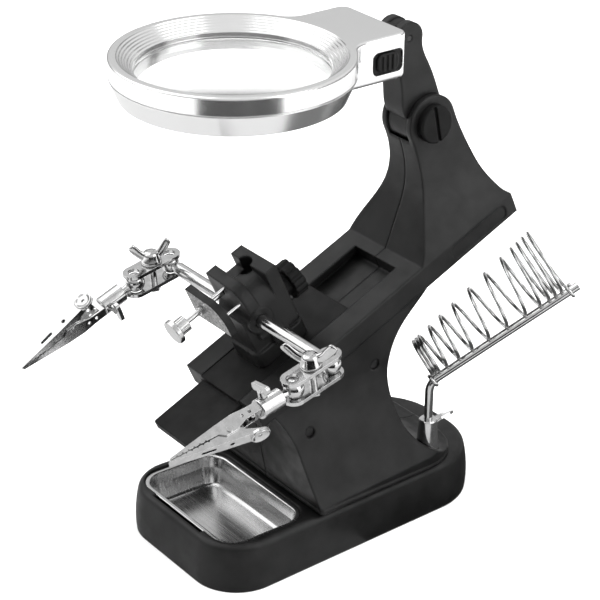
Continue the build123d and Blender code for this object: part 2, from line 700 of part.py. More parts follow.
def wing_nut():
    """Domed hub with two swept paddles, on Z."""
    hub = turned([(0, 0), (5.3, 0), (5.3, 1.4), (4.1, 5.4), (2.6, 6.8), (0, 6.8)])
    paddle = [(2.0, 0.9), (4.6, 0.9), (9.8, 5.2), (12.3, 7.4), (12.6, 10.2), (11.2, 11.8), (8.9, 11.4),
              (6.2, 7.6), (2.4, 5.6)]
    wing = extrude(FRONT_VIEW * polygon(paddle), amount=1.1, both=True)
    wing = fillet(wing.edges().filter_by(Axis.Y).group_by(Axis.X)[-1], 1.2)
    return joined([hub, wing, mirror(wing, Plane.YZ)])


def clamp_wing_nut(name):
    nut = Pos(0, -BALL_SPACING / 2, PLATE_GAP + PLATE_THICK + 0.05) * Rot(0, 0, WING_TURN[name]) * wing_nut()
    return nut - rod_z(1.9, 0, -BALL_SPACING / 2, (0, 40))


def clip_barrel(name):
    """Ball, neck and the barrel that grips the clip's shank."""
    barrel = rod_y(4.9, 0, (BARREL_FRONT, BARREL_BACK), 0)
    barrel = fillet(barrel.edges(), 0.5)
    shape = Sphere(BALL_RADIUS) + rod_y(2.0, 0, (BARREL_BACK - 1, 0), 0) + barrel
    shape -= rod_y(2.05, 0, (BARREL_FRONT - 1, BARREL_FRONT + 9), 0)
    return shape - Rot(0, BARREL_SCREW_TURN[name], 0) * rod_z(1.45, 0, BARREL_SCREW_Y, (0, 8))


def barrel_screw(name):
    """Tee-headed thumb screw through the barrel's wall."""
    y = BARREL_SCREW_Y
    shank = rod_z(1.4, 0, y, (2.3, 8.6))
    hub = rod_z(2.2, 0, y, (5.2, 8.2))
    tee = Pos(0, y, 9.6) * block((-5.6, 5.6), (-1.0, 1.0), (-2.0, 2.0))
    tee = fillet(tee.edges().filter_by(Axis.Y), 1.4)
    return Rot(0, BARREL_SCREW_TURN[name], 0) * (shank + hub + tee)


def jaw_taper(width_back, width_tip, low, high):
    """A wedge in plan, narrow at the tip, for trimming a jaw's sides."""
    tip = -CLIP_LENGTH - 1
    plan = polygon([
        (-width_tip, tip), (width_tip, tip), (width_back, -46), (width_back, -10),
        (-width_back, -10), (-width_back, -46),
    ])
    return Pos(0, 0, low) * extrude(plan, high - low)


def pin_height():
    return PIN_FROM_TIP * sin(radians(LEVER_RISE - JAW_FALL) / 2)


def fixed_jaw():
    """Lower channel of the clip with its shank, closed at its back."""
    tip = -CLIP_LENGTH
    pin = tip + PIN_FROM_TIP
    drop = sin(radians(JAW_FALL))
    meet = sin(radians(LEVER_RISE - JAW_FALL) / 2)
    profile = [
        (tip, -0.9), (tip + 36, -0.9 - 36 * drop), (tip + 43, -2.7), (-21.7, -2.5), (-21.7, 2.2),
        (tip + 41, 2.4), (pin + 3, pin_height() + 2.0), (pin - 3, pin_height() + 2.0),
        (pin - 6, 24.5 * meet), (tip, -0.05),
    ]
    outside = across([Polyline(*profile, close=True)], 20) & jaw_taper(4.2, 2.3, -20, 20)
    room = [
        (tip + 2, 3), (tip + 2, -0.2), (tip + 36, -0.2 - 36 * drop), (tip + 43, -1.9), (-24.5, -1.7), (-24.5, 12),
        (tip + 2, 12),
    ]
    inside = across([Polyline(*room, close=True)], 20) & jaw_taper(3.5, 1.5, -20, 20)
    shape = outside - inside
    for i in range(6):
        y = tip + 3.2 + 3.0 * i
        shape -= Pos(0, y, (y - tip) * meet) * Rot(45, 0, 0) * Box(20, 0.9, 0.9)
    shape += rod_y(2.0, 0, (-25.5, BARREL_FRONT + 8), 0)
    for y in (tip + 40, tip + 44.5):
        shape -= rod_x(0.9, (-10, 10), y, 0)
    return shape - rod_x(1.0, (-10, 10), pin, pin_height())


def lever_jaw():
    """Upper channel of the clip, running back past its pin to the finger pad."""
    tip = -CLIP_LENGTH
    pin = tip + PIN_FROM_TIP
    rise = sin(radians(LEVER_RISE))
    meet = sin(radians(LEVER_RISE - JAW_FALL) / 2)
    end = tip + 46.5
    profile = [
        (tip - 0.6, 0.9), (end, 0.9 + 46.5 * rise), (end, 46.5 * rise - 0.2), (pin + 7, 34 * rise - 1.8),
        (pin + 2.4, pin_height() - 1.9), (pin - 2.4, pin_height() - 1.9), (pin - 4.5, 26.5 * meet + 0.25),
        (tip - 0.6, 0.25),
    ]
    outside = across([Polyline(*profile, close=True)], 20) & jaw_taper(3.3, 2.3, -20, 30)
    room = [(tip + 2, -6), (tip + 2, 0.1), (end + 1, 0.1 + 45.5 * rise), (end + 1, -6)]
    inside = across([Polyline(*room, close=True)], 20) & jaw_taper(2.7, 1.6, -20, 30)
    shape = outside - inside
    pad = Pos(0, tip + 43, 0.45 + 43 * rise) * Rot(LEVER_RISE, 0, 0) * Cylinder(5.0, 1.2)
    shape += pad
    face = Pos(0, tip, 0.5) * Rot(LEVER_RISE, 0, 0)
    shape -= face * rod_z(1.1, 0, 30.2, (-3, 3))
    shape -= face * Pos(0, 18.5, 0) * extrude(SlotOverall(7.5, 1.7, rotation=90), 3, both=True)
    shape -= face * rod_z(1.0, 0, 44.2, (-3, 3))
    for i in range(6):
        y = tip + 4.7 + 3.0 * i
        shape -= Pos(0, y, (y - tip) * meet + 0.25) * Rot(45, 0, 0) * Box(20, 0.9, 0.9)
    return shape - rod_x(1.05, (-10, 10), pin, pin_height())


def clip_pin():
    pin = -CLIP_LENGTH + PIN_FROM_TIP
    heads = rod_x(1.6, (4.25, 4.8), pin, pin_height()) + rod_x(1.6, (-4.8, -4.25), pin, pin_height())
    return rod_x(1.0, (-4.5, 4.5), pin, pin_height()) + heads


def clip_spring():
    """The torsion spring's coil on the pin, as one sleeve."""
    pin = -CLIP_LENGTH + PIN_FROM_TIP
    coil = rod_x(1.75, (-2.2, 2.2), pin, pin_height())
    return coil - rod_x(1.1, (-3, 3), pin, pin_height())


# ---- soldering iron rest -----------------------------------------------------------------------------------------------
def rest_frame():
    """On the bar's axis where it leaves the bend, with +Y along the bar."""
    return Pos(SOCKET_X, SOCKET_Y, REST_BEND_Z) * Rot(0, 0, -REST_YAW) * Rot(REST_PITCH, 0, 0)


def iron_socket():
    cone = turned([(0, SOCKET_LOW), (5.9, SOCKET_LOW), (5.9, SOCKET_LOW + 2), (4.7, SOCKET_TOP - 0.6),
                   (4.2, SOCKET_TOP), (0, SOCKET_TOP)])
    tail = rod_z(3.0, 0, 0, (20, SOCKET_LOW + 1))
    shape = cone + tail - rod_z(WIRE_RADIUS + 0.05, 0, 0, (SOCKET_LOW + 3, 60))
    shape -= Rot(0, 0, 15) * rod_y(1.6, 0, (0, 20), 46.5)
    return Pos(SOCKET_X, SOCKET_Y, 0) * shape


def socket_screw():
    shank = rod_y(1.5, 0, (WIRE_RADIUS + 0.4, 12), 0) + rod_y(2.1, 0, (5.6, 10), 0)
    wing = polygon([(-2.2, 9.5), (2.2, 9.5), (4.6, 14.5), (4.6, 17.2), (2.6, 17.8), (0, 15.2),
                    (-2.6, 17.8), (-4.6, 17.2), (-4.6, 14.5)])
    wing = extrude(wing, 0.7, both=True)
    return Pos(SOCKET_X, SOCKET_Y, 46.5) * Rot(0, 0, 15) * (shank + Rot(0, -30, 0) * wing)


def rest_wire():
    """Post, bend and straight bar in one wire."""
    direction = rest_frame() * Pos(0, REST_BAR, 0)
    end = direction.position
    path = FilletPolyline((SOCKET_X, SOCKET_Y, SOCKET_LOW + 3.5), (SOCKET_X, SOCKET_Y, REST_BEND_Z), tuple(end), radius=9)
    ring = Plane(origin=path @ 0, z_dir=path % 0) * Circle(WIRE_RADIUS)
    return sweep(ring, path=path)


def coil_rings():
    """Turns of the coil as rings: tight at both ends, open between, growing to the mouth."""
    first = COIL_TURNS[0]
    length = COIL_TURNS[-1] - first
    rings = []
    for place in COIL_TURNS:
        grow = (place - first) / length
        radius = COIL_SMALL + (COIL_BIG - COIL_SMALL) * grow - COIL_WIRE
        centre = Pos(0, place, radius + WIRE_RADIUS + COIL_WIRE - 0.25)
        rings.append(rest_frame() * Rot(0, -COIL_LEAN, 0) * centre * Rot(90, 0, 0) * Torus(radius, COIL_WIRE))
    return rings


# ---- write every node ------------------------------------------------------------------------------------------------------
def main():
    os.makedirs("parts", exist_ok=True)
    save(base_shell(), "base_shell")
    save(base_plate(), "base_plate")
    save(Compound(rubber_feet()), "rubber_feet")
    save(Compound(base_screws()), "base_screws")
    save(ballast(), "ballast_weight")
    save(solder_tray(), "solder_tray")

    stand = stand_whole()
    save(body_shell(stand, -1), "body_shell_left")
    save(body_shell(stand, 1), "body_shell_right")
    save(Compound(body_screws()), "body_screws")
    save(Compound(mounting_screws()), "mounting_screws")

    save(lens_arm(), "lens_arm")
    save(pivot_screw(), "pivot_screw")
    save(pivot_nut(), "pivot_nut")
    save(hinge_pin(), "hinge_pin")
    save(lens_bracket(), "lens_bracket")
    save(head_upper(), "lens_frame_upper")
    save(head_lower(), "lens_frame_lower")
    save(lens_glass(), "lens_glass")
    save(led_board(), "led_board")
    save(Compound(leds()), "leds")
    save(Compound(batteries()), "batteries")
    save(battery_cover(), "battery_cover")
    save(switch_base(), "switch_base")
    save(switch_slider(), "switch_slider")

    save(INCLINE * slide_plate(), "slide_plate")
    save(clamp_block(), "clamp_block")
    save(front_jaw(), "front_jaw")
    save(Compound(guide_pins()), "guide_pins")
    save(jaw_screw(), "jaw_screw")
    save(lock_knob(), "lock_knob")
    save(cross_rod(), "cross_rod")

    for name in CLIPS:
        clamp = clamp_frame(name)
        save(clamp * clamp_plate(1), name + "_plate_upper")
        save(clamp * clamp_plate(-1), name + "_plate_lower")
        save(clamp * clamp_bolt(), name + "_clamp_bolt")
        save(clamp * clamp_wing_nut(name), name + "_wing_nut")
        save(barrel_frame(name) * clip_barrel(name), name + "_barrel")
        save(barrel_frame(name) * barrel_screw(name), name + "_barrel_screw")
        clip = clip_frame(name)
        save(clip * fixed_jaw(), name + "_fixed_jaw")
        save(clip * lever_jaw(), name + "_lever_jaw")
        save(clip * clip_pin(), name + "_clip_pin")
        save(clip * clip_spring(), name + "_clip_spring")

    save(iron_socket(), "iron_socket")
    save(socket_screw(), "socket_screw")
    save(rest_wire(), "rest_wire")
    save(Compound(coil_rings()), "rest_coil")


main()
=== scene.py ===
import json
import math

import bmesh
import bpy
from mathutils import Matrix, Quaternion, Vector


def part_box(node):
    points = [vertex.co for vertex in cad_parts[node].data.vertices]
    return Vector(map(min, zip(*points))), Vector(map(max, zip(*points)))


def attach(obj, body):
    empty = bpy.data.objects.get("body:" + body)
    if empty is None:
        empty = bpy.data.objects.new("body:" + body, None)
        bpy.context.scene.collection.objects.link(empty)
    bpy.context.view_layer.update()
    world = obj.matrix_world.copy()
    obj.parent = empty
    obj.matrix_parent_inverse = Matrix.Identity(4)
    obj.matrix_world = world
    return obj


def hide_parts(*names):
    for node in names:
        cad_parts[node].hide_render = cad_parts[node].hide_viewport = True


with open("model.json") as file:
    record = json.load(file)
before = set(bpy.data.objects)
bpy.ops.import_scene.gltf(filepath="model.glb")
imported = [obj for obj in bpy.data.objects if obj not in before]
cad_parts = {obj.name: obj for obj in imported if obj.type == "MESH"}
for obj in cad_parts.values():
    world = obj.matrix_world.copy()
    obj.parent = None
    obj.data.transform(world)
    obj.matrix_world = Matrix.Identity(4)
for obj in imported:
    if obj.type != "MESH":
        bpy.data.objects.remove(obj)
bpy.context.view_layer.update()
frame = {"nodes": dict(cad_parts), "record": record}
nodes = frame["nodes"]
joints = {joint["name"]: joint for joint in frame["record"]["behaviour"]["joints"]}

MM = 0.001

# ---- camera -------------------------------------------------------------------------------
CAMERA_PLACE = (0.72239, -0.55778, 0.57876)
CAMERA_TARGET = (-0.02533, 0.0110, 0.10605)
CAMERA_ROLL = 0.5
CAMERA_LENS = 122.94

# ---- studio: lights as name, place, target, size, watts and whether reflections show them ----
ROOM_SIDE = (0.10, 0.10, 0.10)
ROOM_TOP = (0.82, 0.82, 0.82)
SOFTBOXES = [
    ("key", (-0.9, -0.9, 1.5), (0, 0, 0.1), (2.4, 2.4), 24, True),
    ("side", (1.3, 0.6, 0.9), (0, 0, 0.12), (1.2, 1.8), 12, True),
    ("top", (0.1, 0.2, 1.8), (0, 0, 0.1), (1.6, 1.6), 56, False),
]
# curved cards round the lens: first and last heading in degrees, distance, bottom and top
FLAG = (-66.0, 7.0, 0.42, 0.0, 0.19)
BACKDROP = (70.0, 215.0, 0.50, 0.262, 1.4)
# flat cards on the floor: x, y and radius
GREY_DISC = (0.0, 0.0, 0.7)
DARK_DISC = (0.06, 0.15, 0.15)
FLOOR_HALF = 60.0

# ---- soldering iron rest --------------------------------------------------------------------
REST_YAW = 24.0
REST_PITCH = 31.6
REST_BEND = 72.0
WIRE_RADIUS = 2.2
COIL_WIRE = 0.95
COIL_SMALL = 10.7
COIL_BIG = 18.0
COIL_TURNS = [4.4, 6.3, 8.2, 15.3, 22.7, 31.5, 42.4, 53.4, 64.5, 71.5, 75.4, 79.2, 82.8]
COIL_LEAN = math.radians(20)

# ---- magnifier: the share of the CAD lens's bulge that is shown ------------------------------------
LENS_CURVE = 0.28

# ---- tray, ball clamps and clips ---------------------------------------------------------------
SHEET = 0.8
TRAY_EDGE = 2.6
NOTCH_HALF = 20.5
WING_TURN = {"left": 62, "right": 33}
PAD_PLACE = (0.0, 12.0, 7.9)
PAD_RISE = 13.5
WING_REACH = {"left": 0.8, "right": 1.0}
SIDES = ("left", "right")


# CAD nodes whose surface differs from the rest of their slot, and the material they take
OWN_SURFACE = {
    "pivot_screw": "black_matt",
    "lock_knob": "black_matt",
    "slide_plate": "black_matt",
    # the front jaw's face turned towards -Y and down carries painted light, a speckled grey
    "front_jaw": "black_painted_light",
}


# ---- meshes -----------------------------------------------------------------------------------
def piece(name, mesh, material, body, smooth=40):
    """Link a mesh as an object that rides on a CAD body and takes a material."""
    thing = bpy.data.objects.new(name, mesh)
    bpy.context.scene.collection.objects.link(thing)
    mesh.materials.append(material)
    mesh.shade_smooth()
    if smooth < 180:
        mesh.set_sharp_from_angle(angle=math.radians(smooth))
    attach(thing, body)
    return thing


def mesh_from(name, points, faces):
    """A mesh with its faces turned outwards."""
    mesh = bpy.data.meshes.new(name)
    mesh.from_pydata([tuple(p) for p in points], [], faces)
    mesh.update()
    tidy = bmesh.new()
    tidy.from_mesh(mesh)
    bmesh.ops.recalc_face_normals(tidy, faces=tidy.faces)
    tidy.to_mesh(mesh)
    tidy.free()
    return mesh


def rings_mesh(name, rings, closed_ends=(True, True), loop=False):
    """Skin a list of equal rings of points."""
    points = [p for ring in rings for p in ring]
    count = len(rings[0])
    faces = []
    total = len(rings)
    for i in range(total if loop else total - 1):
        a = i * count
        b = (i + 1) % total * count
        for k in range(count):
            m = (k + 1) % count
            faces.append((a + k, a + m, b + m, b + k))
    if closed_ends[0] and not loop:
        faces.append(tuple(range(count)))
    if closed_ends[1] and not loop:
        faces.append(tuple((total - 1) * count + k for k in range(count)))
    return mesh_from(name, points, faces)


def tube(name, path, radius, sides=16):
    """A round tube along a list of points, carried without twist."""
    rings = []
    tangent = (path[1] - path[0]).normalized()
    normal = tangent.orthogonal().normalized()
    for i, point in enumerate(path):
        before = path[max(i - 1, 0)]
        after = path[min(i + 1, len(path) - 1)]
        turned = (after - before).normalized()
        normal = (tangent.rotation_difference(turned) @ normal).normalized()
        tangent = turned
        side = tangent.cross(normal)
        ring = []
        for k in range(sides):
            angle = 2 * math.pi * k / sides
            ring.append(point + radius * (math.cos(angle) * normal + math.sin(angle) * side))
        rings.append(ring)
    return rings_mesh(name, rings)


def lathe(name, outline, place, steps=96):
    """Turn (radius, height) points about the Z axis of a placing matrix."""
    rings = []
    for i in range(steps):
        angle = 2 * math.pi * i / steps
        ring = [place @ Vector((r * math.cos(angle), r * math.sin(angle), z)) for r, z in outline]
        rings.append(ring)
    return rings_mesh(name, rings, loop=True)


# ---- materials -----------------------------------------------------------------------------------
def shader(name, values):
    """A new material and its principled shader, with constants set on the shader's sockets."""
    material = bpy.data.materials.new(name)
    material.use_nodes = True
    tree = material.node_tree
    principled = tree.nodes["Principled BSDF"]
    for key, value in values.items():
        principled.inputs[key].default_value = value
    return material, tree, principled


def noise(tree, scale, detail=3.0, stretch=(1, 1, 1)):
    """Noise in the object's own coordinates; scale is in cells per metre."""
    place = tree.nodes.new("ShaderNodeTexCoord")
    mapping = tree.nodes.new("ShaderNodeMapping")
    mapping.inputs["Scale"].default_value = stretch
    texture = tree.nodes.new("ShaderNodeTexNoise")
    texture.inputs["Scale"].default_value = scale
    texture.inputs["Detail"].default_value = detail
    tree.links.new(place.outputs["Object"], mapping.inputs["Vector"])
    tree.links.new(mapping.outputs["Vector"], texture.inputs["Vector"])
    return texture.outputs["Fac"]


def spread(tree, source, low, high, start=0.35, stop=0.65):
    """Stretch a noise into a range of values."""
    remap = tree.nodes.new("ShaderNodeMapRange")
    remap.inputs["From Min"].default_value = start
    remap.inputs["From Max"].default_value = stop
    remap.inputs["To Min"].default_value = low
    remap.inputs["To Max"].default_value = high
    tree.links.new(source, remap.inputs["Value"])
    return remap.outputs["Result"]


def blend_colours(tree, source, dark, light, start=0.35, stop=0.65):
    """Turn a noise into a blend of two colours."""
    ramp = tree.nodes.new("ShaderNodeValToRGB")
    ramp.color_ramp.elements[0].position = start
    ramp.color_ramp.elements[0].color = (*dark, 1)
    ramp.color_ramp.elements[1].position = stop
    ramp.color_ramp.elements[1].color = (*light, 1)
    tree.links.new(source, ramp.inputs["Fac"])
    return ramp.outputs["Color"]


def bump(tree, principled, source, distance, edge=0.0):
    """Height detail, over edges that catch the light as if rounded by a small radius."""
    node = tree.nodes.new("ShaderNodeBump")
    node.inputs["Distance"].default_value = distance
    tree.links.new(source, node.inputs["Height"])
    tree.links.new(node.outputs["Normal"], principled.inputs["Normal"])
    if edge > 0:
        rounding = tree.nodes.new("ShaderNodeBevel")
        rounding.samples = 6
        rounding.inputs["Radius"].default_value = edge
        tree.links.new(rounding.outputs["Normal"], node.inputs["Normal"])


def moulded_plastic(name, dark, light, rough, grain, depth, gloss=0.24, edge=0.0006):
    """Moulded plastic: faint mottling, uneven gloss and a fine spark-eroded grain."""
    material, tree, principled = shader(name, {"Specular IOR Level": gloss})
    link = tree.links.new
    link(blend_colours(tree, noise(tree, 60, 4), dark, light), principled.inputs["Base Color"])
    link(spread(tree, noise(tree, 140, 3), *rough), principled.inputs["Roughness"])
    bump(tree, principled, noise(tree, grain, 2), depth, edge)
    return material


def plastic_with_painted_light():
    """Black plastic with painted light: the face turned towards -Y and down is painted a speckled grey where
    the rest is black.
    """
    material, tree, principled = shader("black_painted_light", {"Specular IOR Level": 0.3})
    link = tree.links.new
    # painted light mask: faces turned towards -Y and down take the painted speckled grey
    side = tree.nodes.new("ShaderNodeNewGeometry")
    painted_light_mask = tree.nodes.new("ShaderNodeVectorMath")
    painted_light_mask.operation = "DOT_PRODUCT"
    painted_light_mask.inputs[1].default_value = (0, -0.91, -0.416)
    link(side.outputs["Normal"], painted_light_mask.inputs[0])
    # painted light: a speckled grey standing in for the light on that face
    painted_light_speckle = blend_colours(tree, noise(tree, 900, 4), (0.08, 0.08, 0.08), (0.30, 0.30, 0.30), 0.36, 0.62)
    choose = tree.nodes.new("ShaderNodeMix")
    choose.data_type = "RGBA"
    link(spread(tree, painted_light_mask.outputs["Value"], 0.0, 1.0, 0.85, 0.95), choose.inputs["Factor"])
    choose.inputs["A"].default_value = (0.006, 0.006, 0.006, 1)
    link(painted_light_speckle, choose.inputs["B"])
    link(choose.outputs["Result"], principled.inputs["Base Color"])
    link(spread(tree, noise(tree, 140, 3), 0.4, 0.55), principled.inputs["Roughness"])
    bump(tree, principled, noise(tree, 1500, 3), 0.00004, 0.0006)
    return material


def plated_metal(name, dark, light, rough, wave=300, depth=0.00002):
    """Plated metal: slight clouding, uneven polish and gentle waves in the plating."""
    material, tree, principled = shader(name, {"Metallic": 1.0})
    link = tree.links.new
    link(blend_colours(tree, noise(tree, 220, 3), dark, light), principled.inputs["Base Color"])
    link(spread(tree, noise(tree, 500, 3), *rough), principled.inputs["Roughness"])
    bump(tree, principled, noise(tree, wave, 2), depth, 0.0002)
    return material


def tray_metal():
    """Pressed stainless sheet with a faint rolling grain across it."""
    material, tree, principled = shader("tray_metal", {"Metallic": 1.0})
    link = tree.links.new
    grain = noise(tree, 300, 3, (0.1, 3.0, 1.0))
    cloud = blend_colours(tree, noise(tree, 60, 3), (0.50, 0.50, 0.50), (0.58, 0.58, 0.58))
    link(cloud, principled.inputs["Base Color"])
    link(spread(tree, grain, 0.20, 0.28), principled.inputs["Roughness"])
    bump(tree, principled, grain, 0.000006)
    return material


def silver_paint():
    """Silver coated plastic: very fine metallic flake and slightly uneven sheen."""
    material, tree, principled = shader("silver_paint", {"Metallic": 0.95})
    link = tree.links.new
    flake = blend_colours(tree, noise(tree, 5000, 2), (0.78, 0.78, 0.78), (0.84, 0.84, 0.84))
    link(flake, principled.inputs["Base Color"])
    link(spread(tree, noise(tree, 90, 3), 0.17, 0.21), principled.inputs["Roughness"])
    bump(tree, principled, noise(tree, 700, 2), 0.000003, 0.0005)
    return material


def clear_glass():
    """Lens glass with faint unevenness of polish."""
    material, tree, principled = shader(
        "clear_glass", {"Base Color": (0.97, 0.975, 0.97, 1), "Transmission Weight": 1.0, "IOR": 1.5})
    tree.links.new(spread(tree, noise(tree, 30, 2), 0.0, 0.012), principled.inputs["Roughness"])
    return material


def ground_glass_painted_glow():
    """The lens's ground edge with a painted glow: an uneven emission standing in for the light it gathers
    from the whole glass.
    """
    material, tree, principled = shader("ground_glass_painted_glow", {"Roughness": 0.9, "Emission Strength": 1.0})
    uneven = noise(tree, 55, 2)
    tree.links.new(
        blend_colours(tree, uneven, (0.5, 0.5, 0.5), (0.9, 0.9, 0.9)),
        principled.inputs["Base Color"])
    # painted glow: uneven emission colour from the same noise
    glow = blend_colours(tree, uneven, (0.32, 0.32, 0.32), (1.0, 1.0, 1.0), 0.40, 0.60)
    tree.links.new(glow, principled.inputs["Emission Color"])
    return material


def lamp_plastic():
    """Clear lamp plastic, faintly clouded."""
    material, tree, principled = shader("lamp_plastic", {"Transmission Weight": 0.7, "IOR": 1.5})
    tree.links.new(
        blend_colours(tree, noise(tree, 500, 2), (0.85, 0.86, 0.8), (0.95, 0.95, 0.93)),
        principled.inputs["Base Color"])
    tree.links.new(spread(tree, noise(tree, 400, 2), 0.05, 0.15), principled.inputs["Roughness"])
    return material


def make_materials():
    return {
        "black_satin": moulded_plastic(
            "black_satin", (0.004, 0.004, 0.004), (0.009, 0.009, 0.009), (0.34, 0.46), 2200, 0.00002,
            0.26, 0.0018),
        "black_dull": moulded_plastic(
            "black_dull", (0.004, 0.004, 0.004), (0.008, 0.008, 0.008), (0.45, 0.6), 1800, 0.00003),
        "black_matt": moulded_plastic(
            "black_matt", (0.003, 0.003, 0.003), (0.006, 0.006, 0.006), (0.42, 0.55), 1800, 0.00003,
            0.14, 0.0010),
        # front jaw material: black plastic with painted light on one face
        "black_painted_light": plastic_with_painted_light(),
        "rubber_black": moulded_plastic(
            "rubber_black", (0.012, 0.012, 0.012), (0.02, 0.02, 0.02), (0.7, 0.85), 1200, 0.00006),
        "ballast_iron": moulded_plastic(
            "ballast_iron", (0.08, 0.08, 0.08), (0.16, 0.15, 0.14), (0.6, 0.8), 900, 0.0003),
        "tray_steel": tray_metal(),
        "silver_plastic": silver_paint(),
        "lens_glass": clear_glass(),
        "chrome_bright": plated_metal("chrome_bright", (0.52, 0.52, 0.52), (0.62, 0.62, 0.62), (0.10, 0.18)),
        "zinc_steel": plated_metal("zinc_steel", (0.42, 0.42, 0.43), (0.55, 0.55, 0.56), (0.3, 0.45)),
        "black_screw": moulded_plastic(
            "black_screw", (0.006, 0.006, 0.006), (0.010, 0.010, 0.010), (0.28, 0.38), 1600, 0.00002, 0.5),
        "board_green": moulded_plastic(
            "board_green", (0.01, 0.10, 0.04), (0.02, 0.16, 0.07), (0.35, 0.5), 900, 0.00003),
        "lamp_clear": lamp_plastic(),
        "cell_jacket": moulded_plastic(
            "cell_jacket", (0.05, 0.05, 0.06), (0.09, 0.09, 0.10), (0.25, 0.35), 1200, 0.00002),
    }


def dress_cad_nodes(materials):
    """Give every CAD node the procedural material of its record slot."""
    for part in frame["record"]["subparts"]:
        thing = nodes[part["node"]]
        thing.data.materials.clear()
        thing.data.materials.append(materials[OWN_SURFACE.get(part["node"], part["material_slot"])])


# ---- soldering iron rest ----------------------------------------------------------------------------
def rest_frame():
    """On the bar's axis at the bend, with +Y along the bar."""
    post = joints["rest_swivel"]["pos_m"]
    place = Matrix.Translation((post[0], post[1], REST_BEND * MM))
    place @= Matrix.Rotation(math.radians(-REST_YAW), 4, "Z")
    return place @ Matrix.Rotation(math.radians(REST_PITCH), 4, "X")


def coil_point(along, turn):
    """A point of the winding: along the bar, and turned from where it touches the bar."""
    grow = (along - COIL_TURNS[0]) / (COIL_TURNS[-1] - COIL_TURNS[0])
    radius = COIL_SMALL + (COIL_BIG - COIL_SMALL) * grow - COIL_WIRE
    lift = radius + WIRE_RADIUS + COIL_WIRE - 0.2
    angle = turn - math.pi / 2
    point = Vector((radius * math.cos(angle), along, lift + radius * math.sin(angle)))
    return Matrix.Rotation(-COIL_LEAN, 3, "Y") @ point


def coil(material):
    """One wire wound into a leaning cone on the bar, its ends wrapped round the bar."""
    half_turn = 24
    steps = 48
    wrap = WIRE_RADIUS + COIL_WIRE - 0.1
    path = [
        coil_point(COIL_TURNS[0] - 0.9 + 0.9 * k / half_turn, math.pi * k / half_turn)
        for k in range(half_turn)]
    for i in range(len(COIL_TURNS) - 1):
        for k in range(steps):
            along = COIL_TURNS[i] + (COIL_TURNS[i + 1] - COIL_TURNS[i]) * k / steps
            path.append(coil_point(along, math.pi + 2 * math.pi * k / steps))
    last = COIL_TURNS[-1]
    for k in range(steps // 2 + 1):
        path.append(coil_point(last + 2.8 * k / steps, math.pi + 2 * math.pi * k / steps))
    for k in range(1, steps):
        angle = math.pi / 2 + COIL_LEAN - 2 * math.pi * k / steps
        along = last + 1.4 + 2.2 * k / steps
        path.append(Vector((wrap * math.cos(angle), along, wrap * math.sin(angle))))
    first = []
    for k in range(steps, 0, -1):
        angle = math.pi / 2 + COIL_LEAN + 2 * math.pi * k / steps
        along = COIL_TURNS[0] - 0.9 - 2.0 * k / steps
        first.append(Vector((wrap * math.cos(angle), along, wrap * math.sin(angle))))
    place = rest_frame()
    path = [place @ (point * MM) for point in first + path]
    wire = piece("rest_coil_wound", tube("rest_coil_wound", path, COIL_WIRE * MM, 12), material,
                 "iron_rest", 180)
    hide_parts("rest_coil")


# ---- tray ---------------------------------------------------------------------------------------------
def tray_ring(centre, half, grow, z, steps=12):
    """A rounded rectangle around the tray; grow is its distance outside the mouth."""
    corner = 10 + grow
    ring = []
    for quarter in range(4):
        for k in range(steps + 1):
            angle = math.pi / 2 * (quarter + k / steps)
            sx = 1 if quarter in (0, 3) else -1
            sy = 1 if quarter in (0, 1) else -1
            x = centre[0] + sx * (half[0] + grow - corner) + corner * math.cos(angle)
            y = centre[1] + sy * (half[1] + grow - corner) + corner * math.sin(angle)
            if grow > 0.6 and abs(x - centre[0]) < NOTCH_HALF:
                y = max(y, centre[1] - half[1] - 0.6)
            ring.append(Vector((x, y, z)) * MM)
    return ring


def tray(material):
    """Pressed sheet: rolled rim, drawn walls and a soft radius round the floor."""
    low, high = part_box("solder_tray")
    centre = ((low.x + high.x) / 2 / MM, (low.y + high.y) / 2 / MM)
    half = ((high.x - low.x) / 2 / MM - TRAY_EDGE, (high.y - low.y) / 2 / MM - TRAY_EDGE)
    top = high.z / MM
    floor_top = low.z / MM + SHEET
    outside = [(-5.0, low.z / MM), (-3.2, floor_top - 0.5), (-2.3, floor_top + 1.4), (0.2, top - 1.6),
               (0.9, top - 0.9), (2.2, top - 0.9)]
    rolled = [(2.55, top - 0.8), (2.6, top - 0.45), (2.45, top - 0.12), (2.1, top)]
    inside = [(0.9, top), (0.45, top - 0.08), (0.1, top - 0.35), (-0.05, top - 0.8)]
    wall = [(-0.4, top - 4), (-1.4, floor_top + 4.2), (-1.75, floor_top + 2.6), (-2.3, floor_top + 1.4),
            (-3.2, floor_top + 0.5), (-4.4, floor_top + 0.08), (-5.6, floor_top), (-7.5, floor_top)]
    rings = [tray_ring(centre, half, grow, z) for grow, z in outside + rolled + inside + wall]
    pan = piece("tray_pressed", rings_mesh("tray_pressed", rings), material, "tray", 50)
    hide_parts("solder_tray")


# ---- ball clamps and clips -------------------------------------------------------------------------------
def joint_frame(name, forward):
    """At a joint, +Z along its axis and -Y towards a point."""
    place = Vector(joints[name]["pos_m"])
    up = Vector(joints[name]["axis"]).normalized()
    back = (place - forward).normalized()
    side = back.cross(up).normalized()
    back = up.cross(side)
    turn = Matrix((side, back, up)).transposed().to_4x4()
    return Matrix.Translation(place) @ turn


def oval_section(centre, along, half_height, half_width, count=16):
    """A flattened ring of points across a paddle; along is its direction in the X-Z plane."""
    across = Vector((-along.z, 0, along.x))
    ring = []
    for k in range(count):
        angle = 2 * math.pi * k / count
        wide = Vector((0, half_width * math.sin(angle), 0))
        ring.append(centre + across * half_height * math.cos(angle) + wide)
    return ring


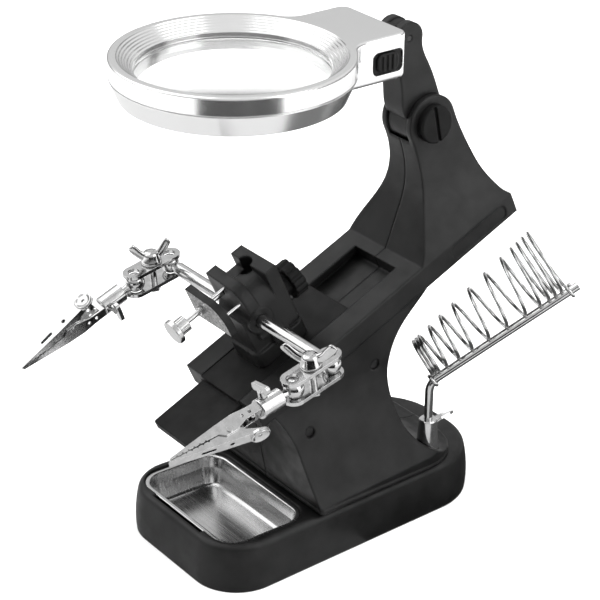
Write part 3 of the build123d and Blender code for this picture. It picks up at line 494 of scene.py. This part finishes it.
def wing_nut(side, material):
    """Domed hub and two swept paddles, moulded as one die casting."""
    seat = Vector(joints[side + "_wing_nut_turn"]["pos_m"])
    tip = Vector(joints[side + "_barrel_swivel"]["pos_m"])
    node = side + "_wing_nut"
    place = joint_frame(node + "_turn", tip)
    place @= Matrix.Translation((0, 0, 6.15 * MM))
    place @= Matrix.Rotation(math.radians(WING_TURN[side]), 4, "Z")
    outline = [(1.9, 0), (5.0, 0), (5.3, 0.3), (5.3, 1.3), (4.9, 1.9), (4.3, 4.6), (3.9, 5.6),
               (3.2, 6.4), (1.9, 6.7)]
    hub = lathe(node + "_hub", [(r * MM, z * MM) for r, z in outline], place, 40)
    hub = piece(node + "_hub", hub, material, node, 50)
    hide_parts(node)
    spine = [(1.5, 3.2, 2.8, 1.7), (4.2, 3.9, 2.7, 1.5), (7.0, 5.6, 2.4, 1.3), (9.4, 7.9, 2.5, 1.2),
             (11.2, 9.8, 2.5, 1.1), (12.1, 10.8, 2.2, 1.0), (12.35, 11.1, 1.0, 0.5)]
    reach = WING_REACH[side]
    for sign in (1, -1):
        rings = []
        for i, (x, z, half_height, half_width) in enumerate(spine):
            before = spine[max(i - 1, 0)]
            after = spine[min(i + 1, len(spine) - 1)]
            along = Vector((after[0] - before[0], 0, after[1] - before[1])).normalized()
            ring = oval_section(Vector((x, 0, z)), along, half_height, half_width)
            rings.append([place @ (Vector((sign * reach * p.x, p.y, p.z)) * MM) for p in ring])
        name = node + ("_paddle_a" if sign > 0 else "_paddle_b")
        paddle = piece(name, rings_mesh(name, rings), material, node, 180)
        smoother = paddle.modifiers.new("smooth", "SUBSURF")
        smoother.levels = 1
        smoother.render_levels = 2


def clip_frame(side):
    """At the clip's pin, +X across, -Y towards the tip, +Z up through the lever."""
    pin = Vector(joints[side + "_lever_open"]["pos_m"])
    across = -Vector(joints[side + "_lever_open"]["axis"])
    forward = Vector(joints[side + "_clip_roll"]["axis"])
    up = across.cross(-forward)
    turn = Matrix((across, -forward, up)).transposed().to_4x4()
    return Matrix.Translation(pin) @ turn


def clip_spring(side, material):
    """Torsion spring on the pin: close turns, with a leg along each jaw."""
    node = side + "_clip_spring"
    place = clip_frame(side)
    radius = 1.45
    path = [Vector((-2.1, 9.0, 2.6)), Vector((-2.1, 4.0, 2.2))]
    turns = 7
    for k in range(turns * 20 + 1):
        angle = math.pi / 2 - 2 * math.pi * k / 20
        x = -2.1 + 4.2 * k / (turns * 20)
        path.append(Vector((x, radius * math.cos(angle), radius * math.sin(angle))))
    path += [Vector((2.1, 4.0, -1.6)), Vector((2.1, 8.0, -2.4))]
    path = [place @ (p * MM) for p in path]
    wound = tube(node + "_wound", path, 0.28 * MM, 8)
    wire = piece(node + "_wound", wound, material, side + "_clip", 180)
    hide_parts(node)


def finger_dish(side, material):
    """Dished round pad where the lever is pressed."""
    place = clip_frame(side) @ Matrix.Translation(Vector(PAD_PLACE) * MM)
    place @= Matrix.Rotation(math.radians(PAD_RISE), 4, "X")
    outline = [(1.0, 0.5), (1.0, 0.62), (2.2, 0.68), (3.1, 0.95), (3.8, 1.40), (4.15, 1.5), (4.5, 1.35),
               (4.6, 1.0), (4.6, 0.5)]
    name = side + "_finger_dish"
    dish = lathe(name, [(r * MM, z * MM) for r, z in outline], place, 48)
    piece(name, dish, material, side + "_lever", 35)


# ---- magnifier ----------------------------------------------------------------------------------------
def magnifier_glass(material, ground):
    """The biconvex lens turned finely enough to bend light cleanly, and its ground edge, which has a painted
    glow.
    """
    low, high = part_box("lens_glass")
    centre = (low + high) / 2
    radius = (high.x - low.x) / 2
    half = (high.z - low.z) / 2
    edge = 1.3 * MM
    bulge = LENS_CURVE * (half - edge)
    sphere = (radius ** 2 + bulge ** 2) / (2 * bulge)
    steps = 40
    top = []
    for i in range(1, steps + 1):
        r = (radius - 1.2 * MM) * i / steps
        top.append((r, edge + bulge - (sphere - math.sqrt(sphere ** 2 - r ** 2))))
    outline = top + [(radius, edge), (radius, -edge)] + [(r, -z) for r, z in reversed(top)]
    place = Matrix.Translation(centre)
    rings = []
    turns = 128
    for r, z in outline:
        ring = []
        for k in range(turns):
            angle = 2 * math.pi * k / turns
            ring.append(place @ Vector((r * math.cos(angle), r * math.sin(angle), z)))
        rings.append(ring)
    lens = piece("lens_turned", rings_mesh("lens_turned", rings), material, "lens_head", 30)
    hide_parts("lens_glass")
    gap = 0.05 * MM
    band = [(radius + gap, -edge), (radius + 3 * gap, -edge), (radius + 3 * gap, edge), (radius + gap, edge)]
    rim = lathe("lens_ground_edge", band, place, turns)
    # the ground edge's material emits a painted glow
    piece("lens_ground_edge", rim, ground, "lens_head", 30)


# ---- studio ---------------------------------------------------------------------------------------------
def floor():
    half = FLOOR_HALF
    mesh = mesh_from("floor", [(-half, -half, 0), (half, -half, 0), (half, half, 0), (-half, half, 0)],
                     [(0, 1, 2, 3)])
    material, tree, principled = shader("floor_paper", {"Roughness": 0.9})
    tree.links.new(
        blend_colours(tree, noise(tree, 3, 2), (0.86, 0.86, 0.86), (0.88, 0.88, 0.88)),
        principled.inputs["Base Color"])
    thing = bpy.data.objects.new("floor", mesh)
    bpy.context.scene.collection.objects.link(thing)
    mesh.materials.append(material)


def softbox(name, place, target, size, power, seen):
    """A soft area light; seen says whether reflections show it."""
    light = bpy.data.lights.new(name, "AREA")
    light.shape = "RECTANGLE"
    light.size = size[0]
    light.size_y = size[1]
    light.energy = power
    lamp = bpy.data.objects.new(name, light)
    bpy.context.scene.collection.objects.link(lamp)
    lamp.visible_glossy = seen
    lamp.visible_transmission = seen
    lamp.location = place
    lamp.rotation_euler = (Vector(target) - Vector(place)).to_track_quat("-Z", "Y").to_euler()


def card(name, points, faces, shade, seen="glossy"):
    """A card that only reflections see, or only light that has come through the glass."""
    mesh = mesh_from(name, points, faces)
    material, tree, principled = shader(name + "_cloth", {"Roughness": 1.0, "Specular IOR Level": 0.0})
    light = 1.1 * shade
    cloth = blend_colours(tree, noise(tree, 40, 2), (shade, shade, shade), (light, light, light))
    tree.links.new(cloth, principled.inputs["Base Color"])
    thing = bpy.data.objects.new(name, mesh)
    bpy.context.scene.collection.objects.link(thing)
    mesh.materials.append(material)
    thing.visible_camera = False
    thing.visible_shadow = False
    thing.visible_diffuse = False
    thing.visible_glossy = seen == "glossy"
    thing.visible_transmission = seen == "glass"


def curved_card(name, around, start, stop, distance, low, high, shade, seen="glossy"):
    """An upright card bent round a point, between two headings in degrees."""
    points = []
    faces = []
    steps = 16
    for i in range(steps + 1):
        angle = math.radians(start + (stop - start) * i / steps)
        x = around.x + distance * math.cos(angle)
        y = around.y + distance * math.sin(angle)
        points += [(x, y, low), (x, y, high)]
    for i in range(steps):
        faces.append((2 * i, 2 * i + 2, 2 * i + 3, 2 * i + 1))
    card(name, points, faces, shade, seen)


def disc_card(name, x, y, radius, height, shade):
    """A flat round card just above the floor, seen only by reflections."""
    turns = [2 * math.pi * k / 60 for k in range(60)]
    points = [(x + radius * math.cos(t), y + radius * math.sin(t), height) for t in turns]
    card(name, points, [tuple(range(60))], shade)


def cards():
    """A dark card for the patch on the ring's band, greys under the metal, white behind the lens."""
    low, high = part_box("lens_glass")
    ring = (low + high) / 2
    curved_card("flag", ring, *FLAG, 0.008)
    curved_card("backdrop", ring, *BACKDROP, 0.9, "glass")
    disc_card("grey_disc", *GREY_DISC, 0.0004, 0.38)
    disc_card("dark_disc", *DARK_DISC, 0.0008, 0.05)


def studio():
    """A dim room that brightens overhead, and three large soft lights."""
    world = bpy.data.worlds.new("studio")
    bpy.context.scene.world = world
    world.use_nodes = True
    tree = world.node_tree
    background = tree.nodes["Background"]
    coordinates = tree.nodes.new("ShaderNodeTexCoord")
    split = tree.nodes.new("ShaderNodeSeparateXYZ")
    tree.links.new(coordinates.outputs["Generated"], split.inputs["Vector"])
    sky = blend_colours(tree, split.outputs["Z"], ROOM_SIDE, ROOM_TOP, 0.04, 0.46)
    tree.links.new(sky, background.inputs["Color"])
    background.inputs["Strength"].default_value = 1.0
    for name, place, target, size, power, seen in SOFTBOXES:
        softbox(name, place, target, size, power, seen)


def camera():
    data = bpy.data.cameras.new("camera")
    data.lens = CAMERA_LENS
    data.sensor_width = 36
    data.clip_start = 0.05
    data.clip_end = 50
    eye = bpy.data.objects.new("camera", data)
    bpy.context.scene.collection.objects.link(eye)
    place = Vector(CAMERA_PLACE)
    look = (Vector(CAMERA_TARGET) - place).to_track_quat("-Z", "Y")
    eye.rotation_mode = "QUATERNION"
    eye.rotation_quaternion = look @ Quaternion((0, 0, 1), math.radians(CAMERA_ROLL))
    eye.location = place
    bpy.context.scene.camera = eye


def main():
    bpy.context.scene.view_settings.view_transform = "Standard"
    camera()
    studio()
    cards()
    floor()
    materials = make_materials()
    dress_cad_nodes(materials)
    coil(materials["chrome_bright"])
    tray(materials["tray_steel"])
    for side in SIDES:
        wing_nut(side, materials["chrome_bright"])
        clip_spring(side, materials["zinc_steel"])
        finger_dish(side, materials["chrome_bright"])
    magnifier_glass(materials["lens_glass"], ground_glass_painted_glow())


main()
